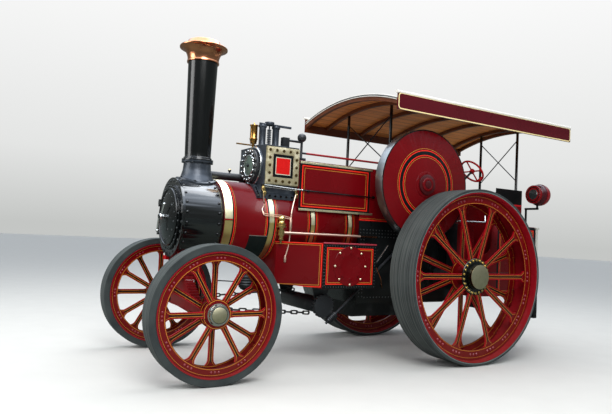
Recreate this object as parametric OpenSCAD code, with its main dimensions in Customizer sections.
// Steam traction engine with a canopy, 1:1, in millimetres.
// The pieces are drawn with X forward from the rear axle, Y to the engine's left and Z up from
// the ground, and place() then moves them so that the origin is at the middle of the engine.

/* [Wheels] */
// Distance between the rear and the front axle
wheelbase = 3040; // [2950:10:3300]
// Rear wheel's radius over its rubber
rear_r = 990; // [960:5:1010]
// Rear wheel's width
rear_w = 390; // [340:5:395]
// Width over the rear wheels' rims
rear_over = 2360; // [2340:10:2440]
// Thickness of the rear wheel's rubber
rear_rubber = 39; // [25:1:45]
// Spokes in each of the rear wheel's two rows
rear_spokes = 10; // [8:1:11]
// Front wheel's radius over its rubber
front_r = 626; // [600:2:640]
// Front wheel's width
front_w = 212; // [190:2:230]
// Width over the front wheels' rims
front_over = 2010; // [1990:10:2100]
// Thickness of the front wheel's rubber
front_rubber = 66; // [40:1:70]
// Spokes in each of the front wheel's two rows
front_spokes = 6; // [5:1:7]
// Thickness of a rim and of the rings inside it
rim_t = 12; // [8:1:16]
// Thickness of a flat spoke
spoke_t = 14; // [10:1:18]
// Radius of the rear axle
rear_axle_r = 60; // [50:1:70]
// Radius of the front axle's ends
front_axle_r = 38; // [30:1:45]

/* [Boiler] */
// Height of the boiler's centre line
boiler_z = 1486; // [1480:2:1510]
// Radius of the lagged barrel
barrel_r = 416; // [405:1:425]
// Radius of the smokebox
smokebox_r = 400; // [390:1:404]
// Front of the smokebox, from the rear axle
smokebox_front = 3225; // [3200:5:3300]
// Rear of the smokebox
smokebox_rear = 2798; // [2780:2:2820]
// Front of the firebox
firebox_front = 1160; // [1150:2:1180]
// Rear of the firebox
firebox_rear = 250; // [220:5:300]
// Half width of the firebox, to the inside of the hornplates
firebox_y = 405; // [400:1:408]
// Thickness of a hornplate
horn_t = 15; // [10:1:20]
// Thickness of a brass boiler band
band_t = 6; // [3:1:8]

/* [Chimney] */
// Chimney's centre, from the rear axle
chimney_x = 2970; // [2960:5:3000]
// Height of the joint between the chimney and its base
chimney_z0 = 2080; // [2060:5:2110]
// Height of the chimney's top under its cap
chimney_z1 = 3120; // [3080:10:3150]
// Height of the cap's lip
chimney_top = 3350; // [3320:10:3400]
// Chimney's radius at its foot
chimney_r0 = 134; // [125:1:140]
// Chimney's radius at its top
chimney_r1 = 154; // [148:1:156]
// Radius of the copper cap's brim
cap_r = 250; // [230:5:270]

/* [Motion] */
// Crankshaft's distance in front of the rear axle
crank_x = 500; // [480:5:520]
// Crankshaft's height
crank_z = 2010; // [2005:1:2020]
// Radius of the crankshaft
crank_r = 45; // [38:1:50]
// Flywheel's radius
fly_r = 634; // [600:2:640]
// Flywheel's width
fly_w = 126; // [110:2:140]
// Flywheel's outer face, from the middle of the engine
fly_y = 774; // [760:2:776]
// Rear end of the cylinder block
cyl_rear = 1970; // [1960:2:1980]
// Front end of the cylinder block
cyl_front = 2400; // [2380:5:2420]
// Height of the motion casing's side
casing_top = 2150; // [2145:1:2170]
// Height of the motion casing's lower edge
casing_low = 1640; // [1620:5:1660]

/* [Tank and tender] */
// Half width over the belly tank's side boxes
tank_y = 620; // [600:5:640]
// Height of the belly tank's bottom
tank_low = 810; // [805:1:830]
// Height of the belly tank's top
tank_top = 1294; // [1280:2:1310]
// Rear end of a side box
side_box_rear = 1050; // [1040:5:1080]
// Front end of a side box
side_box_front = 1750; // [1720:5:1780]
// Half width of the tender
tender_y = 600; // [580:5:640]
// Rear of the tender behind the rear axle
tender_rear = 1650; // [1640:5:1690]
// Height of the footplate
foot_z = 1000; // [970:5:1020]
// Height of the tender's side plates
side_z = 1620; // [1590:5:1650]
// Height of the coal bunker's rim
bunker_z = 2100; // [2040:5:2120]
// Thickness of the tender's plates
plate_t = 8; // [6:1:12]
// Drawbar's reach behind the rear axle
drawbar_reach = 1862; // [1800:2:1880]
// Radius of the drawbar pin's bore
pin_bore_r = 21; // [16:1:26]

/* [Canopy] */
// Canopy's front edge, from the rear axle
roof_front = 1130; // [1110:5:1150]
// Canopy's rear edge behind the rear axle
roof_rear = 1780; // [1760:5:1800]
// Half width of the roof
roof_y = 970; // [950:5:1000]
// Height of the roof's crown
roof_crown = 3050; // [3030:5:3090]
// Rise of the roof from its edge to its crown
roof_rise = 160; // [140:5:180]
// Thickness of the roof's planks
roof_t = 24; // [18:1:30]
// Depth of a curved rib under the planks
rib_h = 45; // [35:1:55]
// Radius of a canopy post
post_r = 18; // [14:1:22]
// Front posts, from the rear axle
post_front = 780; // [740:5:820]
// Rear posts behind the rear axle
post_rear = 1550; // [1500:5:1590]
// Half distance between the rear posts
post_rear_y = 330; // [300:5:380]

/* [Steering] */
// Radius of the steering wheel
hand_r = 170; // [150:2:190]
// Radius of the steering shaft
shaft_r = 14; // [12:1:16]
// Steering wheel's place behind the rear axle
hand_x = 560; // [540:5:600]
// Height of the steering wheel's centre
hand_z = 2290; // [2270:5:2310]
// Chain roller's distance in front of the rear axle
roller_x = 1620; // [1600:5:1640]
// Height of the chain roller
roller_z = 610; // [600:2:620]
// Radius of the chain roller's drum
roller_r = 90; // [70:2:100]
// Radius over the worm wheel's teeth
worm_wheel_r = 128; // [110:1:132]
// Teeth on the worm wheel
worm_teeth = 20; // [16:1:24]
// Half distance between the chains at the front axle
chain_arm = 450; // [420:5:480]

/* [Hidden] */
$fn = 48;

maroon = [0.42, 0.05, 0.09];
vermilion = [0.86, 0.16, 0.08];
iron_black = [0.05, 0.05, 0.06];
brass = [0.80, 0.66, 0.34];
copper = [0.80, 0.45, 0.26];
rubber = [0.22, 0.24, 0.24];
steel = [0.62, 0.63, 0.62];
wood = [0.55, 0.30, 0.12];
chest_grey = [0.55, 0.54, 0.42];
off_white = [0.85, 0.85, 0.82];

// Running gap between a turning piece and what carries it
run_gap = 0.3;
// Small gap where two curved faces of different pieces would touch
seat_gap = 0.3;

horn_y = firebox_y + horn_t;
front_reach = wheelbase + front_r;
mid_x = (front_reach - drawbar_reach) / 2;
rear_face = rear_over / 2;
front_face = front_over / 2;

// Everything is drawn from the rear axle and moved here to its final place.
module place() translate([-mid_x, 0, 0]) children();

// Round bar along X, between two places, about a centre line at y and z.
module x_bar(x0, x1, r, y = 0, z = 0)
    translate([x0, y, z]) rotate([0, 90, 0]) cylinder(h = x1 - x0, r = r);

// Round bar along Y, between two places, about a centre line at x and z.
module y_bar(y0, y1, r, x = 0, z = 0)
    translate([x, y0, z]) rotate([-90, 0, 0]) cylinder(h = y1 - y0, r = r);

// Block from its low corner to its high corner.
module block(low, high) translate(low) cube(high - low);

// A side view drawn as [x, z] points, as thick as from y0 to y1.
module side_plate(y0, y1) translate([0, y1, 0]) rotate([90, 0, 0])
    linear_extrude(y1 - y0) children();

// A cross section drawn as [y, z] points, as long as from x0 to x1.
module section(x0, x1) translate([x0, 0, 0]) rotate([90, 0, 90])
    linear_extrude(x1 - x0) children();

module both_sides() { children(); mirror([0, 1, 0]) children(); }

// Space of the lagged barrel and its bands, for whatever sits on it.
module barrel_space() {
    x_bar(firebox_rear - 1, smokebox_rear, barrel_r, z = boiler_z);
    for (b = bands) x_bar(b[0] - b[1] / 2 - 1, b[0] + b[1] / 2 + 1, barrel_r + band_t + 2 * seat_gap,
        z = boiler_z);
}

// Smokebox: a drum with an open front ring and a wall at the bottom of the chimney.
smokebox_wall = 12;
ring_t = 25;
door_hole_r = 316;
smokebox_ring_r = 404;
module smokebox() place() color(iron_black) difference() {
    union() {
        x_bar(smokebox_rear, smokebox_front, smokebox_r, z = boiler_z);
        x_bar(smokebox_front - ring_t, smokebox_front, smokebox_ring_r, z = boiler_z);
        for (side = [-1, 1]) translate([0, 0, boiler_z + side * strap_z]) {
            for (z = [-1, 1]) translate([door_x + hinge_r, hinge_y, z * (knuckle_h / 2 + 9) - 8])
                cylinder(h = 16, r = hinge_r);
            for (z = [-1, 1]) block([smokebox_front - 5, hinge_y - hinge_r,
                z * (knuckle_h / 2 + 9) - 8], [door_x + hinge_r, hinge_y + hinge_r,
                z * (knuckle_h / 2 + 9) + 8]);
            translate([door_x + hinge_r, hinge_y, -knuckle_h / 2 - 10])
                cylinder(h = knuckle_h + 20, r = hinge_pin_r);
        }
    }
    x_bar(smokebox_rear + smokebox_wall, smokebox_front - ring_t, smokebox_r - smokebox_wall,
        z = boiler_z);
    x_bar(smokebox_front - ring_t - 1, smokebox_front + 1, door_hole_r, z = boiler_z);
    translate([chimney_x, 0, boiler_z]) cylinder(h = smokebox_r + 10, r = chimney_r0 - 20);
}

module boiler_barrel() place() color(maroon)
    x_bar(firebox_front, smokebox_rear, barrel_r, z = boiler_z);

// Each band: place of its middle, width.
bands = [[smokebox_rear - 42, 84], [2274, 54], [1772, 44], [1284, 44]];
module boiler_bands() place() color(brass) for (b = bands) difference() {
    x_bar(b[0] - b[1] / 2, b[0] + b[1] / 2, barrel_r + band_t, z = boiler_z);
    x_bar(b[0] - b[1], b[0] + b[1], barrel_r, z = boiler_z);
}

// Firebox: a deep box with a round top, carrying the round door's frame at its rear.
firebox_low = 620;
firehole_z = 1300;
firehole_r = 150;
module firebox() place() color(iron_black) difference() {
    union() {
        section(firebox_rear, firebox_front) union() {
            translate([-firebox_y, firebox_low]) square([2 * firebox_y, boiler_z - firebox_low]);
            intersection() {
                translate([0, boiler_z]) circle(r = firebox_y);
                translate([-firebox_y, boiler_z]) square([2 * firebox_y, firebox_y]);
            }
        }
        x_bar(firebox_rear - 20, firebox_rear, firehole_r + 25, z = firehole_z);
        for (z = [-1, 1]) block([fire_hinge_x - 11, fire_hinge_y - 11, firehole_z + z * 33 - 8],
            [firebox_rear, fire_hinge_y + 11, firehole_z + z * 33 + 8]);
        translate([fire_hinge_x, fire_hinge_y, firehole_z - 30]) cylinder(h = 60, r = hinge_pin_r);
    }
    x_bar(firebox_rear - 30, firebox_rear + 300, firehole_r - 15, z = firehole_z);
}

// Side view of a hornplate, from the firebox's front edge round to the tender.
horn_rear = -420;
horn_profile = [[firebox_front, firebox_low], [firebox_front, casing_low],
    [firebox_front - 130, casing_low], [firebox_front - 130, casing_top],
    [-140, casing_top], [-200, casing_top - 320], [horn_rear, side_z - 60],
    [horn_rear, tank_low - 60], [-160, firebox_low]];
bearing_r = 105;
bearing_y = horn_y + 45;
module hornplate() difference() {
    union() {
        side_plate(firebox_y, horn_y) polygon(horn_profile);
        y_bar(horn_y - 1, bearing_y, bearing_r, crank_x, crank_z);
        y_bar(horn_y - 1, horn_y + 60, rear_axle_r + 60, 0, rear_r);
    }
    y_bar(firebox_y - 1, bearing_y + 1, crank_r + run_gap, crank_x, crank_z);
    y_bar(firebox_y - 1, horn_y + 61, rear_axle_r, 0, rear_r);
}
// The left plate also carries the steering shaft, in two small brackets.
module hornplates() place() color(maroon) {
    difference() {
        union() {
            hornplate();
            for (s = column_brackets) on_column(s) translate([0, 0, -15])
                linear_extrude(30) square([2 * (shaft_r + 12), 2 * (shaft_r + 12)], center = true);
            for (s = column_brackets) on_column(s) translate([0, -(shaft_r + 12) / 2 - 8, -15])
                linear_extrude(30) square([2 * (shaft_r + 12), shaft_r + 12 + 16], center = true);
        }
        on_column(0) cylinder(h = column_l, r = shaft_r + run_gap);
        translate([-2000, -2000, 0]) cube([5000, 2000 + firebox_y, 3000]);
    }
    mirror([0, 1, 0]) hornplate();
}

// Motion casing: closed, from the cylinder block to the hornplates, with an arched lid that
// runs back over the crankshaft.
lid_rise = 45;
lid_r = 2000;
lid_t = 12;
casing_y = horn_y;
casing_rear = firebox_front - 130;
lid_rear = -140;
module lid_shape() difference() {
    union() {
        translate([-casing_y, casing_top]) square([2 * casing_y, lid_t]);
        intersection() {
            translate([0, casing_top + lid_t + lid_rise - lid_r]) circle(r = lid_r, $fn = 200);
            translate([-casing_y, casing_top]) square([2 * casing_y, lid_rise + lid_t]);
        }
    }
}
module motion_casing() place() color(maroon) difference() {
    union() {
        section(casing_rear, cyl_rear) translate([-casing_y, casing_low])
            square([2 * casing_y, casing_top - casing_low]);
        section(lid_rear, cyl_rear) lid_shape();
        block([lid_rear, -firebox_y, boiler_z + firebox_y - 60],
            [lid_rear + lid_t, firebox_y, casing_top]);
    }
    barrel_space();
}

// Cylinder block: round casing, square steam chest and a saddle on the barrel.
cyl_y = 140;
cyl_z = 2080;
cyl_r = 214;
chest_y = 385;
chest_top = cyl_z + cyl_r + 2;
chest_low = cyl_z - 204;
saddle_y = 330;
saddle_low = 1740;
module cylinder_block() place() color(iron_black) difference() {
    union() {
        x_bar(cyl_rear, cyl_front, cyl_r, cyl_y, cyl_z);
        block([cyl_rear, cyl_y, chest_low], [cyl_front - 20, chest_y, chest_top]);
        block([cyl_rear, -250, chest_low], [cyl_front - 20, cyl_y, cyl_z + 90]);
        block([cyl_rear + 10, -230, cyl_z], [cyl_front - 20, cyl_y, chest_top]);
        block([cyl_rear, -saddle_y, saddle_low], [cyl_front - 10, saddle_y, chest_low]);
        intersection() {
            x_bar(cyl_rear, cyl_front + 30, barrel_r + 36, z = boiler_z);
            block([cyl_rear, -saddle_y - 20, saddle_low - 12],
                [cyl_front + 30, saddle_y + 20, chest_low]);
        }
    }
    barrel_space();
}

// Cylinder cover: a stepped disc with its ring of nuts.
cover_r = 180;
cover_nuts = 16;
module cylinder_cover() place() color(steel) translate([cyl_front, cyl_y, cyl_z])
    rotate([0, 90, 0]) {
        cylinder(h = 34, r = cover_r);
        cylinder(h = 46, r = cover_r - 60);
        for (i = [0:cover_nuts - 1]) rotate(i * 360 / cover_nuts)
            translate([cover_r - 24, 0, 0]) cylinder(h = 62, r = 14);
    }

// Steam chest cover on the left, and a plain one on the right: a raised frame and a bare plate.
chest_cover_t = 25;
module steam_chest_covers() place() color(chest_grey) {
    difference() {
        union() {
            block([cyl_rear, chest_y, chest_low + 4], [cyl_front - 34, chest_y + 15, chest_top - 16]);
            block([cyl_rear + 8, chest_y, chest_low + 12],
                [cyl_front - 42, chest_y + chest_cover_t, chest_top - 24]);
        }
        block([cyl_rear + 78, chest_y + 15, chest_low + 82],
            [cyl_front - 112, chest_y + 40, chest_top - 94]);
    }
    block([cyl_rear + 84, chest_y + 15, chest_low + 88],
        [cyl_front - 118, chest_y + 21, chest_top - 100]);
}

// Safety valves: two columns on a common foot, a spring between them and the lever on top.
valve_x = [2283, 2120];
valve_y = 100;
valve_top = chest_top + 264;
module safety_valves() place() color(iron_black) {
    block([valve_x[1] - 60, valve_y - 70, chest_top], [valve_x[0] + 55, valve_y + 70, chest_top + 26]);
    for (x = valve_x) translate([x, valve_y, chest_top]) {
        cylinder(h = valve_top - chest_top - 20, r = 38);
        translate([0, 0, valve_top - chest_top - 36]) cylinder(h = 22, r = 47);
    }
    translate([(valve_x[0] + valve_x[1]) / 2, valve_y, chest_top]) {
        cylinder(h = valve_top - chest_top, r = 8);
        for (i = [0:8]) translate([0, 0, 40 + i * 20]) cylinder(h = 10, r = 24);
    }
    block([valve_x[1] - 190, valve_y - 9, valve_top - 12], [valve_x[0] + 40, valve_y + 9, valve_top + 12]);
    for (x = valve_x) translate([x, valve_y, valve_top - 22]) cylinder(h = 24, r = 16);
    translate([(valve_x[0] + valve_x[1]) / 2, valve_y, valve_top - 6]) cylinder(h = 34, r = 52);
}

// Whistle: a bell on its stem, with a valve and a long lever.
whistle_x = 2350;
whistle_y = 20;
module whistle() place() color(brass) translate([whistle_x, whistle_y, chest_top]) {
    cylinder(h = 80, r = 16);
    translate([0, 0, 46]) cylinder(h = 26, r = 36);
    translate([0, 0, 70]) cylinder(h = 180, r = 40);
    translate([0, 0, 92]) cylinder(h = 12, r = 45);
    translate([0, 0, 242]) cylinder(h = 12, r = 46);
    translate([0, 0, 250]) cylinder(h = 30, r = 7);
    block([-20, -8, 20], [200, 8, 34]);
}

// Throttle gear behind the safety valves, and the rod that runs back to the footplate.
gear_x = 1840;
rod_y = 200;
rod_z = casing_top + 130;
module throttle_gear() place() color(iron_black) difference() {
    union() {
        block([gear_x - 40, rod_y - 40, casing_top], [gear_x + 40, rod_y + 40, casing_top + 70]);
        translate([gear_x, rod_y, casing_top + 60]) cylinder(h = 250, r = 14);
        translate([gear_x, rod_y, casing_top + 270]) cylinder(h = 60, r = 42);
        translate([gear_x, rod_y, casing_top + 300]) sphere(r = 50);
        x_bar(gear_x, cyl_rear + 110, 13, rod_y, casing_top + 250);
        block([cyl_rear + 40, rod_y - 30, chest_top], [cyl_rear + 120, rod_y + 30, casing_top + 275]);
        x_bar(-130, gear_x, 12, rod_y, rod_z);
        for (x = [-100, 700])
            block([x - 8, rod_y - 20, casing_top], [x + 8, rod_y + 20, rod_z + 16]);
    }
    x_bar(lid_rear - 10, cyl_rear, lid_r, z = casing_top + lid_t + lid_rise - lid_r, $fn = 200);
}

// Exhaust pipe from the block to the chimney base.
exhaust_r = 42;
exhaust_y = -104;
exhaust_z = 1965;
oiler_x = 2560;
module exhaust_pipe() place() color(iron_black) difference() {
    union() {
        x_bar(cyl_front - 60, chimney_x, exhaust_r, exhaust_y, exhaust_z);
        x_bar(cyl_front - 60, cyl_front + 16, exhaust_r + 18, exhaust_y, exhaust_z);
        translate([oiler_x, exhaust_y, exhaust_z]) cylinder(h = exhaust_r + 20, r = 8);
        translate([oiler_x, exhaust_y, exhaust_z + exhaust_r + 26]) sphere(r = 18);
    }
    x_bar(cyl_rear, cyl_front, cyl_r, cyl_y, cyl_z);
    block([cyl_rear, -260, chest_low], [cyl_front - 20, chest_y, chest_top]);
    base_bell(seat_gap);
    translate([chimney_x - 100, -300, exhaust_z - 100]) cube([300, 600, 300]);
    barrel_space();
}

// Chimney base: a curved plate on the smokebox and a bell up to the chimney's flange.
base_plate_r = 214;
bell_r = 190;
module base_bell(extra = 0) translate([chimney_x, 0, 0]) rotate_extrude()
    polygon([[0, boiler_z + 300], [bell_r + 20 + extra, boiler_z + 300],
        [bell_r + extra, boiler_z + 380], [bell_r - 28 + extra, boiler_z + 440],
        [bell_r - 44 + extra, boiler_z + 500], [bell_r - 50 + extra, chimney_z0 - 18],
        [chimney_r0 + 28 + extra, chimney_z0 - 18], [chimney_r0 + 28 + extra, chimney_z0],
        [0, chimney_z0]]);
module chimney_base() place() color(iron_black) difference() {
    union() {
        intersection() {
            x_bar(chimney_x - 300, chimney_x + 240, smokebox_r + 16, z = boiler_z);
            translate([chimney_x, 0, boiler_z]) cylinder(h = 500, r = base_plate_r);
        }
        base_bell();
    }
    x_bar(smokebox_rear - 20, smokebox_front + 20, smokebox_r, z = boiler_z);
    barrel_space();
    translate([chimney_x, 0, boiler_z]) cylinder(h = 1000, r = chimney_r0 - 20);
}

chimney_wall = 8;
module chimney() place() color(iron_black) translate([chimney_x, 0, chimney_z0]) difference() {
    union() {
        cylinder(h = chimney_z1 - chimney_z0, r1 = chimney_r0, r2 = chimney_r1);
        cylinder(h = 18, r = chimney_r0 + 28);
        translate([0, 0, 18]) cylinder(h = 20, r = chimney_r0 + 12);
    }
    translate([0, 0, -1]) cylinder(h = chimney_z1 - chimney_z0 + 2,
        r1 = chimney_r0 - chimney_wall, r2 = chimney_r1 - chimney_wall);
}

// Copper cap: a bead, a bell that flares to the brim and the lip above it.
cap_wall = 7;
lip_r = chimney_r1 + 12;
cap_h = chimney_top - chimney_z1;
brim_h = cap_h * 0.66;
flare_steps = 6;
flare = [for (i = [0:flare_steps]) let (a = i * 90 / flare_steps)
    [chimney_r1 + 8 + (cap_r - chimney_r1 - 8) * (1 - cos(a)), 18 + (brim_h - 18) * sin(a)]];
flare_in = [for (i = [flare_steps:-1:0]) [flare[i][0] - cap_wall, flare[i][1] + cap_wall]];
module chimney_cap() place() color(copper) translate([chimney_x, 0, chimney_z1])
    rotate_extrude() union() {
        polygon([[chimney_r1 - chimney_wall, 0], [chimney_r1 + 14, 0], [chimney_r1 + 14, 18],
            [chimney_r1 + 8, 18], for (p = flare) p, [cap_r, brim_h + 14],
            [lip_r + 26, brim_h + 30], [lip_r + 4, cap_h - 8], [lip_r, cap_h],
            [lip_r - cap_wall, cap_h], [lip_r - cap_wall, cap_h - 12],
            [lip_r + 10, brim_h + 24], [cap_r - cap_wall - 6, brim_h + 4],
            for (p = flare_in) if (p[1] < brim_h) p, [chimney_r1 - chimney_wall, 20]]);
    }

// Feed: a clack valve on the left of the barrel with its long copper pipe, and a plain pipe.
clack_x = 2180;
clack_y = 460;
clack_z = 1380;
pipe_r = 11;
module feed_pipes() place() color(copper) difference() {
    union() {
        translate([clack_x, clack_y, clack_z - 90]) cylinder(h = 240, r = 20);
        translate([clack_x, clack_y, clack_z - 30]) cylinder(h = 60, r = 34);
        translate([clack_x, clack_y, clack_z + 90]) cylinder(h = 30, r = 30);
        y_bar(barrel_r - 60, clack_y, 24, clack_x, clack_z + 10);
        x_bar(firebox_front - 230, clack_x, pipe_r, clack_y, clack_z);
        y_bar(horn_y, clack_y, pipe_r, firebox_front - 220, clack_z);
    }
    barrel_space();
}

// Belly tank: a saddle under the barrel, two side boxes and a nose that narrows forwards.
box_in = 500;
tank_rear = 1200;
nose_front = 2200;
nose_y = 400;
nose_rise = 40;
module belly_tank() place() color(maroon) difference() {
    union() {
        block([tank_rear, -box_in, tank_low], [side_box_front, box_in, tank_top]);
        both_sides() block([side_box_rear, box_in, tank_low], [side_box_front, tank_y, tank_top]);
        hull() {
            block([side_box_front - 1, -tank_y + 8, tank_low + 4],
                [side_box_front, tank_y - 8, tank_top - 4]);
            block([nose_front - 1, -nose_y, tank_low + nose_rise],
                [nose_front, nose_y, tank_top - 4]);
        }
    }
    barrel_space();
    block([tank_rear - 200, -horn_y - 2, tank_low - 20], [firebox_front + 10, horn_y + 2, tank_top + 20]);
}

// Round covers on the tank's two side boxes.
tank_cover_r = 165;
tank_nuts = 8;
module tank_covers() place() color(maroon) both_sides()
    translate([(side_box_rear + side_box_front) / 2, tank_y, (tank_low + tank_top) / 2])
    rotate([-90, 0, 0]) {
        cylinder(h = 8, r = tank_cover_r);
        for (i = [0:tank_nuts - 1]) rotate(i * 360 / tank_nuts)
            translate([tank_cover_r - 22, 0, 0]) cylinder(h = 20, r = 11);
    }

// Ash pan under the firebox.
pan_low = 450;
module ash_pan() place() color(iron_black) section(firebox_rear + 60, firebox_front - 60)
    polygon([[-250, pan_low], [250, pan_low], [360, firebox_low], [-360, firebox_low]]);

rear_axle_end = rear_face - 95;
module rear_axle() place() color(steel)
    y_bar(-rear_axle_end, rear_axle_end, rear_axle_r, 0, rear_r);

// Gear guard on the right, between the hornplate and the wheel.
guard_y0 = horn_y + 62;
guard_y1 = horn_y + 170;
guard_low_r = 330;
guard_top_r = 150;
guard_top = [crank_x, crank_z - 40];
guard_tilt = atan2(guard_top[1] - rear_r, guard_top[0]);
guard_lean = asin((guard_low_r - guard_top_r) / norm([guard_top[0], guard_top[1] - rear_r]));
// Point on a disc's edge where the straight side of the guard leaves it, a little inside.
function guard_edge(c, r, side) = let (a = guard_tilt + side * (90 - guard_lean))
    [c[0] + (r - 8) * cos(a), c[1] + (r - 8) * sin(a)];
module guard_body(y0, y1, extra = 0) union() {
    y_bar(y0, y1, guard_low_r + extra, 0, rear_r);
    y_bar(y0, y1, guard_top_r + extra, guard_top[0], guard_top[1]);
    side_plate(y0, y1) polygon([for (e = [[[0, rear_r], guard_low_r, 1],
        [guard_top, guard_top_r, 1], [guard_top, guard_top_r, -1], [[0, rear_r], guard_low_r, -1]])
        guard_edge(e[0], e[1] + extra, e[2])]);
}
module gear_guard() place() color(maroon) difference() {
    guard_body(-guard_y1, -guard_y0);
    y_bar(-guard_y1 - 1, -guard_y0 + 1, rear_axle_r, 0, rear_r);
}

// Tender: the water tank under the footplate and behind the coal, closed on top.
coal_front = 900;
coal_rear = 1400;
tender_low = 700;
module tender_tank() place() color(maroon) side_plate(-tender_y, tender_y)
    polygon([[horn_rear - 10, foot_z], [horn_rear - 10, tender_low + 60],
        [horn_rear - 70, tender_low], [-tender_rear + 40, tender_low],
        [-tender_rear, tender_low + 40], [-tender_rear, side_z - 30],
        [-tender_rear + 30, side_z], [-coal_rear, side_z], [-coal_rear, foot_z]]);

// Side plates with the cut-away way in, and the bunker's walls above the tank.
way_front = 470;
way_rear = 800;
way_low = 1240;
bunker_y = tender_y - 40;
module tender_plates() place() color(maroon) {
    both_sides() side_plate(tender_y - plate_t, tender_y) polygon([
        [-200, foot_z + 4], [-200, side_z - 40], [-240, side_z], [-way_front + 60, side_z],
        [-way_front, side_z - 60], [-way_front - 20, way_low + 70], [-way_front - 90, way_low],
        [-way_rear + 90, way_low], [-way_rear + 20, way_low + 70], [-way_rear, side_z - 60],
        [-way_rear - 60, side_z], [-coal_rear + 0.2, side_z], [-coal_rear + 0.2, foot_z + 4]]);
    both_sides() block([-coal_rear + 0.2, bunker_y - plate_t, side_z - 20],
        [-coal_front, bunker_y, bunker_z]);
    both_sides() block([-coal_rear + 0.2, bunker_y - plate_t, side_z - 20],
        [-coal_front, tender_y, side_z - 20 + plate_t]);
    block([-coal_rear + 0.2, -bunker_y, side_z - 20], [-coal_rear + plate_t, bunker_y, bunker_z]);
    difference() {
        block([-coal_front - plate_t, -tender_y, foot_z + 4], [-coal_front, tender_y, side_z - 20 + plate_t]);
        block([-coal_front - 20, -200, foot_z], [-coal_front + 20, 200, foot_z + 300]);
    }
    block([-coal_front - plate_t, -bunker_y, side_z - 20], [-coal_front, bunker_y, bunker_z - 120]);
}

// Footplate: the floor from the firebox back to the coal, with its front wings.
module footplate() place() color(iron_black) difference() {
    union() {
        block([-coal_rear, -tender_y, foot_z], [horn_rear, tender_y, foot_z + 4]);
        both_sides() block([horn_rear, horn_y, foot_z], [-200, tender_y, foot_z + 4]);
        both_sides() block([-212, horn_y, foot_z + 4], [-200, tender_y - plate_t, side_z - 20]);
    }
    guard_body(-guard_y1 - 2, -guard_y0 + 2, 3);
}

// Drawbar: two ears with the bore for the pin, on a plate across the tender's tank.
draw_z = 780;
ear_gap = 60;
ear_t = 30;
ear_w = 110;
pin_x = -(drawbar_reach - ear_w / 2);
module drawbar() place() color(iron_black) difference() {
    union() {
        block([-tender_rear - 20, -200, draw_z - 70], [-tender_rear, 200, draw_z + 70]);
        for (z = [draw_z - ear_gap / 2 - ear_t, draw_z + ear_gap / 2]) {
            translate([pin_x, 0, z]) cylinder(h = ear_t, r = ear_w / 2);
            block([pin_x, -ear_w / 2, z], [-tender_rear - 10, ear_w / 2, z + ear_t]);
        }
    }
    translate([pin_x, 0, draw_z - 100]) cylinder(h = 200, r = pin_bore_r);
}

// Rear fittings: the pale tubes at the tender's corners, their brackets and the low steps.
tube_r = 20;
tube_low = foot_z + 150;
tube_top = side_z - 30;
step_low = tender_low - 300;
module rear_fittings() place() color(off_white) both_sides() {
    translate([-tender_rear - 30, tender_y - 12, tube_low]) cylinder(h = tube_top - tube_low, r = tube_r);
    for (z = [tube_low + 20, tube_top - 30])
        block([-tender_rear - 34, tender_y - 24, z], [-tender_rear, tender_y, z + 24]);
    block([-tender_rear - 60, tender_y - 60, tube_top], [-tender_rear, tender_y + 10, side_z - 2]);
    block([-tender_rear - 50, tender_y - 190, step_low],
        [-tender_rear + 14, tender_y + 12, tender_low - 4]);
    block([-tender_rear + 14, tender_y - 190, tender_low - 30], [-tender_rear + 90, tender_y - 20, tender_low]);
}

// Lamps: a drum with a domed back on a stalk from the tender.
lamp_x = -1450;
lamp_y = 790;
lamp_z = 2040;
lamp_r = 112;
lamp_l = 120;
module lamps() place() color(maroon) both_sides() {
    x_bar(lamp_x - lamp_l / 2, lamp_x + lamp_l / 2 + 40, lamp_r, lamp_y, lamp_z);
    x_bar(lamp_x + lamp_l / 2 + 40, lamp_x + lamp_l / 2 + 60, lamp_r + 8, lamp_y, lamp_z);
    translate([lamp_x - lamp_l / 2, lamp_y, lamp_z]) rotate([0, -90, 0]) scale([1, 1, 1])
        rotate_extrude() intersection() {
            translate([0, -lamp_r * 0.55]) circle(r = lamp_r * 1.14);
            square([lamp_r, lamp_r]);
        }
    translate([lamp_x + 30, lamp_y, lamp_z - lamp_r - 70]) cylinder(h = 90, r = 14);
    y_bar(tender_y, lamp_y + 14, 14, lamp_x + 30, lamp_z - lamp_r - 70);
    translate([lamp_x + 30, tender_y + 14, side_z - 120])
        cylinder(h = lamp_z - lamp_r - 70 - side_z + 120, r = 14);
    y_bar(tender_y, tender_y + 20, 20, lamp_x + 30, side_z - 110);
}

// Canopy: an arched roof of planks on curved ribs, with a board along each side.
arch_r = (roof_y * roof_y + roof_rise * roof_rise) / (2 * roof_rise);
arch_z = roof_crown - arch_r;
board_h = 185;
board_t = 22;
board_top = roof_crown - roof_rise + 55;
module arch(r0, r1, x0, x1, half) intersection() {
    difference() {
        x_bar(x0, x1, r1, z = arch_z, $fn = 180);
        x_bar(x0 - 1, x1 + 1, r0, z = arch_z, $fn = 180);
    }
    block([x0, -half, roof_crown - roof_rise - 200], [x1, half, roof_crown + 1]);
}
module canopy_roof() place() color(wood)
    arch(arch_r - roof_t, arch_r, -roof_rear, roof_front, roof_y);
module canopy_boards() place() color(maroon) both_sides() union() {
    block([-roof_rear, roof_y, board_top - board_h], [roof_front, roof_y + board_t, board_top]);
    x_bar(-roof_rear, roof_front, 14, roof_y + board_t / 2, board_top + 4);
}
rib_w = 44;
rib_x = [roof_front - 30, post_front, 200, -380, -960, -post_rear, -roof_rear + 30];
module canopy_ribs() place() color(wood) for (x = rib_x)
    arch(arch_r - roof_t - rib_h, arch_r - roof_t, x - rib_w / 2, x + rib_w / 2, roof_y);

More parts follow.
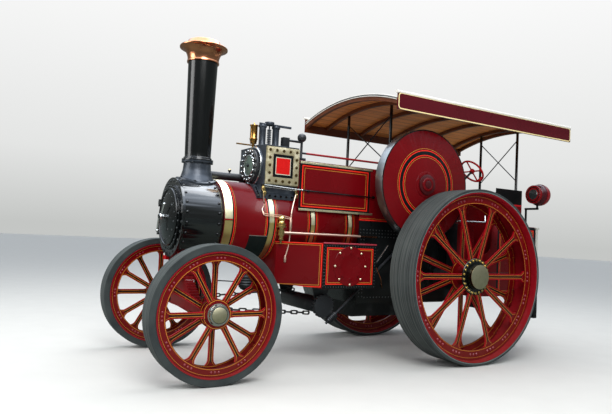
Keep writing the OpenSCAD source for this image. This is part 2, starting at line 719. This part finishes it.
// Posts up to the ribs, cut to the ribs' curve, with crossed stays between them.
post_front_y = horn_y + post_r;
stay_r = 7;
module rod(a, b, r) {
    d = b - a;
    l = norm(d);
    translate(a) rotate([0, acos(d[2] / l), atan2(d[1], d[0])]) cylinder(h = l, r = r, $fn = 16);
}
stay_low = 2250;
stay_high = 2830;
module canopy_posts() place() color(iron_black) intersection() {
    union() {
        both_sides() translate([post_front, post_front_y, casing_top - 260]) cylinder(h = 1300, r = post_r);
        both_sides() translate([-post_rear, post_rear_y, side_z]) cylinder(h = 1500, r = post_r);
        both_sides() translate([-post_rear, post_rear_y, side_z]) cylinder(h = 16, r = 44);
        both_sides() block([post_front - 40, horn_y, casing_top - 240],
            [post_front + 40, horn_y + 10, casing_top - 120]);
        rod([post_front, -post_front_y, stay_low], [post_front, post_front_y, stay_high], stay_r);
        rod([post_front + 2 * stay_r, post_front_y, stay_low],
            [post_front + 2 * stay_r, -post_front_y, stay_high], stay_r);
        rod([-post_rear, -post_rear_y, stay_low], [-post_rear, post_rear_y, stay_high], stay_r);
        rod([-post_rear - 2 * stay_r, post_rear_y, stay_low],
            [-post_rear - 2 * stay_r, -post_rear_y, stay_high], stay_r);
    }
    x_bar(-roof_rear, roof_front, arch_r - roof_t - rib_h, z = arch_z, $fn = 180);
}

// Perch bracket under the smokebox, with the king pin that the front axle turns on.
leaf_t = 24;
leaves = 8;
turntable_h = 36;
turntable_gap = 5;
perch_low = front_r + 46 + leaves * leaf_t + turntable_h + turntable_gap;
king_r = 34.7;
king_low = front_r - 40;
module perch_bracket() place() color(maroon) difference() {
    union() {
        translate([wheelbase, 0, perch_low]) cylinder(h = 30, r = 150);
        intersection() {
            side_plate(-210, 210) polygon([[wheelbase - 100, perch_low + 20],
                [wheelbase + 100, perch_low + 20], [wheelbase + 150, boiler_z - 360],
                [wheelbase + 150, boiler_z - 300], [wheelbase - 190, boiler_z - 300],
                [wheelbase - 190, boiler_z - 360]]);
            section(wheelbase - 210, wheelbase + 170) polygon([[-100, perch_low + 20],
                [100, perch_low + 20], [200, boiler_z - 360], [200, boiler_z - 300],
                [-200, boiler_z - 300], [-200, boiler_z - 360]]);
        }
        translate([wheelbase, 0, king_low]) cylinder(h = perch_low - king_low + 10, r = king_r);
    }
    x_bar(smokebox_rear, smokebox_front, smokebox_r, z = boiler_z);
    x_bar(smokebox_front - ring_t - 1, smokebox_front + 100, smokebox_ring_r + seat_gap,
        z = boiler_z);
    barrel_space();
}

// Front axle: a beam that tapers to its round ends.
beam_h = 90;
front_axle_end = front_face - 55;
axle_inner = front_face - front_w - 20;
module front_axle() place() color(maroon) difference() {
    union() {
        translate([wheelbase, 0, 0]) rotate([90, 0, 90]) translate([0, 0, -45]) linear_extrude(90)
            polygon([[-axle_inner, front_r - 36], [-300, front_r - 50], [300, front_r - 50],
                [axle_inner, front_r - 36], [axle_inner, front_r + 36], [300, front_r + 46],
                [-300, front_r + 46], [-axle_inner, front_r + 36]]);
        y_bar(-front_axle_end, front_axle_end, front_axle_r, wheelbase, front_r);
        both_sides() block([wheelbase - arm_back, chain_arm - 20, front_r - 34],
            [wheelbase - 40, chain_arm + 20, front_r - 6]);
    }
    translate([wheelbase, 0, front_r - 100]) cylinder(h = 200, r = king_r + run_gap);
}

// Leaf spring on the front axle, with the turntable's lower plate on top of it.
module front_spring() place() color(maroon) difference() {
    union() {
        for (i = [0:leaves - 1]) block([wheelbase - 45, -420 + i * 36, front_r + 46 + i * leaf_t],
            [wheelbase + 45, 420 - i * 36, front_r + 46 + (i + 1) * leaf_t]);
        translate([wheelbase, 0, front_r + 46 + leaves * leaf_t])
            cylinder(h = turntable_h, r = 150);
    }
    translate([wheelbase, 0, front_r]) cylinder(h = perch_low - front_r, r = king_r + run_gap);
}

// Steering chains: fused oval links from the axle's arms back to the roller.
link_pitch = 62;
link_w = 46;
link_r = 7;
module link() translate([0, 0, 0]) rotate([90, 0, 0]) difference() {
    linear_extrude(2 * link_r, center = true) union() {
        square([link_pitch, link_w], center = true);
        for (x = [-1, 1]) translate([x * link_pitch / 2, 0]) circle(r = link_w / 2);
    }
    linear_extrude(4 * link_r, center = true) union() {
        square([link_pitch, link_w - 4 * link_r], center = true);
        for (x = [-1, 1]) translate([x * link_pitch / 2, 0]) circle(r = link_w / 2 - 2 * link_r);
    }
}
module chain(a, b) {
    d = b - a;
    l = norm(d);
    n = floor(l / (link_pitch + link_w - 3 * link_r));
    translate(a) rotate([0, acos(d[2] / l) - 90, atan2(d[1], d[0])])
        for (i = [0:n - 1]) translate([(i + 0.5) * l / n, 0, 0]) rotate([i % 2 * 90, 0, 0]) link();
}
arm_back = 110;
chain_front = [wheelbase - arm_back - 14, chain_arm, front_r - 20];
chain_back_y = 180;
// The last link lies a little in front of the drum's top, where its face is lower.
chain_off = roller_r + link_w / 2 - 2 * run_gap;
module chain_left() place() color(iron_black)
    chain(chain_front, [roller_x + 10, chain_back_y, roller_z - chain_off]);
module chain_right() place() color(iron_black)
    chain([chain_front[0], -chain_arm, chain_front[2]],
        [roller_x + 10, -chain_back_y, roller_z + chain_off]);

// Brackets that carry the chain roller under the belly tank.
roller_y = 400;
roller_shaft_r = 20;
module roller_brackets() place() color(iron_black) both_sides() difference() {
    side_plate(roller_y - 16, roller_y) polygon([[roller_x - 110, tank_low], [roller_x - 40, roller_z - 50],
        [roller_x + 40, roller_z - 50], [roller_x + 110, tank_low]]);
    y_bar(roller_y - 20, roller_y + 4, roller_shaft_r + run_gap, roller_x, roller_z);
}
// Chain roller, with the worm wheel on its left end.
worm_y = horn_y + 35;
worm_wheel_w = 44;
tooth_h = 14;
module chain_roller() place() color(iron_black) {
    y_bar(-roller_y + 22, roller_y - 22, roller_r, roller_x, roller_z);
    y_bar(-roller_y - 16, worm_y + worm_wheel_w / 2, roller_shaft_r, roller_x, roller_z);
    y_bar(worm_y - worm_wheel_w / 2, worm_y + worm_wheel_w / 2, worm_wheel_r - tooth_h, roller_x, roller_z);
    translate([roller_x, worm_y + worm_wheel_w / 2, roller_z]) rotate([90, 0, 0])
        linear_extrude(worm_wheel_w) for (i = [0:worm_teeth - 1]) rotate(i * 360 / worm_teeth)
            polygon([[worm_wheel_r - tooth_h - 3, -13], [worm_wheel_r, -6], [worm_wheel_r, 6],
                [worm_wheel_r - tooth_h - 3, 13]]);
}

// Steering shaft: from the hand wheel down to the worm, in the plane of the worm wheel.
worm_r = 44;
worm_clear = 3;
hand = [-hand_x, worm_y, hand_z];
worm_gap = worm_wheel_r + worm_r + worm_clear;
to_roller = [roller_x + hand_x, roller_z - hand_z];
reach = norm(to_roller);
column_dip = atan2(-to_roller[1], to_roller[0]) + asin(worm_gap / reach);
column_run = sqrt(reach * reach - worm_gap * worm_gap);
column_l = column_run + 90;
column_brackets = [column_run * 0.30, column_run * 0.60];
// Children are placed on the column, their +Z down along it, s along it from the hand wheel.
module on_column(s) translate(hand) rotate([0, 90 + column_dip, 0]) translate([0, 0, s]) children();
worm_l = 120;
module steering_shaft() place() color(steel) on_column(0) {
    translate([0, 0, 20]) cylinder(h = column_l - 20, r = shaft_r);
    translate([0, 0, column_run - worm_l / 2]) cylinder(h = worm_l, r = worm_r - 12);
    for (i = [0:5]) translate([0, 0, column_run - worm_l / 2 + i * 20 + 5]) cylinder(h = 10, r = worm_r);
}
rim_r = 12;
module steering_wheel() place() color(vermilion) on_column(0) {
    rotate_extrude() translate([hand_r - rim_r, 0]) circle(r = rim_r);
    cylinder(h = 40, r = 30, center = true);
    for (i = [0:3]) rotate(i * 90) rotate([0, 90, 0]) cylinder(h = hand_r - rim_r, r = 9);
    translate([hand_r - rim_r, 0, -90]) cylinder(h = 84, r = 13);
}

// Smokebox door: a dished disc with its hinge strap and the two handles at its middle.
door_r = 335;
door_t = 18;
door_dish = 44;
hinge_y = -(door_r + 24);
hinge_r = 13;
door_x = smokebox_front + seat_gap;
strap_z = 150;
knuckle_h = 44;
hinge_pin_r = 6;
dish_r = (door_r * door_r * 0.8 + door_dish * door_dish) / (2 * door_dish);
module smokebox_door() place() color(iron_black) translate([door_x, 0, boiler_z]) difference() {
    union() {
        rotate([0, 90, 0]) {
            cylinder(h = door_t, r = door_r);
            rotate_extrude() intersection() {
                translate([0, door_t + door_dish - dish_r]) circle(r = dish_r, $fn = 160);
                square([door_r, door_t + door_dish]);
            }
            translate([0, 0, door_t]) cylinder(h = door_dish + 60, r = 22);
        }
        translate([door_t + door_dish + 30, 0, 0]) rotate([-35, 0, 0]) cylinder(h = 150, r = 9);
        translate([door_t + door_dish + 52, 0, 0]) rotate([165, 0, 0]) cylinder(h = 150, r = 9);
        for (z = [-strap_z, strap_z]) translate([0, 0, z - knuckle_h / 2]) {
            block([door_t - 6, hinge_y, 2], [door_t + 10, -120, knuckle_h - 2]);
            translate([hinge_r, hinge_y, 0]) cylinder(h = knuckle_h, r = hinge_r);
        }
    }
    for (z = [-strap_z, strap_z]) translate([hinge_r, hinge_y, z - knuckle_h])
        cylinder(h = 2 * knuckle_h, r = hinge_pin_r + run_gap);
}

// Firehole door, hinged at its left on the backhead.
fire_door_x = firebox_rear - 20 - seat_gap;
fire_hinge_x = fire_door_x - 17;
fire_hinge_y = firehole_r + 36;
module firehole_door() place() color(iron_black) difference() {
    union() {
        x_bar(fire_door_x - 12, fire_door_x, firehole_r, z = firehole_z);
        block([fire_door_x - 24, -60, firehole_z - 16],
            [fire_door_x - 10, fire_hinge_y, firehole_z + 16]);
        translate([fire_hinge_x, fire_hinge_y, firehole_z - 24]) cylinder(h = 48, r = 11);
        x_bar(fire_door_x - 80, fire_door_x - 10, 8, -100, firehole_z);
    }
    translate([fire_hinge_x, fire_hinge_y, firehole_z - 40]) cylinder(h = 80, r = hinge_pin_r + run_gap);
}

// Flywheel: a solid disc with a deep rim and a stepped boss.
fly_rim = 40;
fly_web = 26;
module flywheel() place() color(maroon) translate([crank_x, fly_y, crank_z]) rotate([90, 0, 0])
    rotate_extrude($fn = 96) difference() {
        union() {
            translate([crank_r, 0]) square([fly_r - crank_r, fly_web]);
            translate([fly_r - fly_rim, 0]) square([fly_rim, fly_w]);
            translate([crank_r, 0]) square([70, 132]);
            translate([crank_r, -8]) square([105, 40]);
        }
    }
module crankshaft() place() color(steel) union() {
    y_bar(-horn_y - 40, fly_y + 44, crank_r, crank_x, crank_z);
    y_bar(fly_y + 8, fly_y + 28, crank_r + 70, crank_x, crank_z);
}

// One wheel, standing at the origin with its outer face at y = 0 and its inner face at -width:
// the rim, a ring and a row of spokes near each face, and the hub between the two rows.
hub_step = 14;
module spoke(r_hub, r_rim, w, head) polygon([
    [r_hub - 40, -w * 0.65], [r_hub + 30, -w / 2], [r_rim - head * 0.42, -w / 2],
    [r_rim - head * 0.20, -w * 0.62], [r_rim - head * 0.08, -head * 0.34], [r_rim, -head / 2],
    [r_rim, head / 2], [r_rim - head * 0.08, head * 0.34], [r_rim - head * 0.20, w * 0.62],
    [r_rim - head * 0.42, w / 2], [r_hub + 30, w / 2], [r_hub - 40, w * 0.65]]);
module wheel(r, width, rubber_t, spokes, w, head, hub_r, flange_r, axle_r, ring_h, inset, hub_out) {
    rim = r - rubber_t;
    outer = -inset;
    inner = -width + inset;
    turn = 180 / spokes;
    difference() {
        union() {
            difference() {
                y_bar(-width, 0, rim, $fn = 96);
                y_bar(-width - 1, 1, rim - rim_t, $fn = 96);
            }
            for (y = [outer - rim_t, inner]) difference() {
                y_bar(y, y + rim_t, rim - rim_t + 1, $fn = 96);
                y_bar(y - 1, y + rim_t + 1, rim - ring_h, $fn = 96);
            }
            side_plate(outer - rim_t - spoke_t, outer - rim_t) for (i = [0:spokes - 1])
                rotate(i * 2 * turn) spoke(flange_r, rim - rim_t - 6, w, head);
            side_plate(inner + rim_t, inner + rim_t + spoke_t) for (i = [0:spokes - 1])
                rotate((i * 2 + 1) * turn) spoke(flange_r, rim - rim_t - 6, w, head);
            y_bar(outer - rim_t - spoke_t - hub_step, outer - rim_t - spoke_t, flange_r);
            y_bar(inner + rim_t + spoke_t, inner + rim_t + spoke_t + hub_step, flange_r);
            y_bar(outer - rim_t - spoke_t, outer - rim_t, flange_r - 30);
            y_bar(inner + rim_t, inner + rim_t + spoke_t, flange_r - 30);
            y_bar(inner - 10, -hub_out, hub_r);
        }
        y_bar(-width - 50, 100, axle_r + run_gap);
    }
}
module rear_wheel() wheel(rear_r, rear_w, rear_rubber, rear_spokes, 66, 200, 118, 187, rear_axle_r,
    84, 74, 68);
module front_wheel() wheel(front_r, front_w, front_rubber, front_spokes, 54, 150, 84, 135,
    front_axle_r, 66, 34, 40);
module tyre(r, width, t) difference() {
    y_bar(-width, 0, r, $fn = 96);
    y_bar(-width - 1, 1, r - t, $fn = 96);
}
// Hub cap: a brass cup over the axle's end, with a rolled edge.
module cap(r, depth, axle_r, low) difference() {
    union() {
        y_bar(-low, depth - low, r);
        y_bar(-low, -low + 12, r + 10);
    }
    y_bar(-low - 1, depth - low - 10, axle_r + 6);
}
rear_cap_low = 68;
front_cap_low = 40;
module at_rear(side) place() translate([0, side * rear_face, rear_r]) mirror([0, (1 - side) / 2, 0]) children();
module at_front(side) place() translate([wheelbase, side * front_face, front_r])
    mirror([0, (1 - side) / 2, 0]) children();
module rear_left_wheel() at_rear(1) color(maroon) rear_wheel();
module rear_left_tyre() at_rear(1) color(rubber) tyre(rear_r, rear_w, rear_rubber);
module rear_left_cap() at_rear(1) color(brass) cap(135, 58, rear_axle_r, rear_cap_low);
module rear_right_wheel() at_rear(-1) color(maroon) rear_wheel();
module rear_right_tyre() at_rear(-1) color(rubber) tyre(rear_r, rear_w, rear_rubber);
module rear_right_cap() at_rear(-1) color(brass) cap(135, 58, rear_axle_r, rear_cap_low);
module front_left_wheel() at_front(1) color(maroon) front_wheel();
module front_left_tyre() at_front(1) color(rubber) tyre(front_r, front_w, front_rubber);
module front_left_cap() at_front(1) color(brass) cap(90, 46, front_axle_r, front_cap_low);
module front_right_wheel() at_front(-1) color(maroon) front_wheel();
module front_right_tyre() at_front(-1) color(rubber) tyre(front_r, front_w, front_rubber);
module front_right_cap() at_front(-1) color(brass) cap(90, 46, front_axle_r, front_cap_low);

smokebox();
boiler_barrel();
boiler_bands();
firebox();
hornplates();
motion_casing();
cylinder_block();
cylinder_cover();
steam_chest_covers();
safety_valves();
whistle();
throttle_gear();
exhaust_pipe();
chimney_base();
chimney();
chimney_cap();
feed_pipes();
belly_tank();
tank_covers();
ash_pan();
rear_axle();
gear_guard();
tender_tank();
tender_plates();
footplate();
drawbar();
rear_fittings();
lamps();
canopy_roof();
canopy_boards();
canopy_ribs();
canopy_posts();
perch_bracket();
roller_brackets();
chain_left();
chain_right();
front_axle();
front_spring();
smokebox_door();
firehole_door();
flywheel();
crankshaft();
steering_wheel();
steering_shaft();
chain_roller();
rear_left_wheel();
rear_left_tyre();
rear_left_cap();
rear_right_wheel();
rear_right_tyre();
rear_right_cap();
front_left_wheel();
front_left_tyre();
front_left_cap();
front_right_wheel();
front_right_tyre();
front_right_cap();
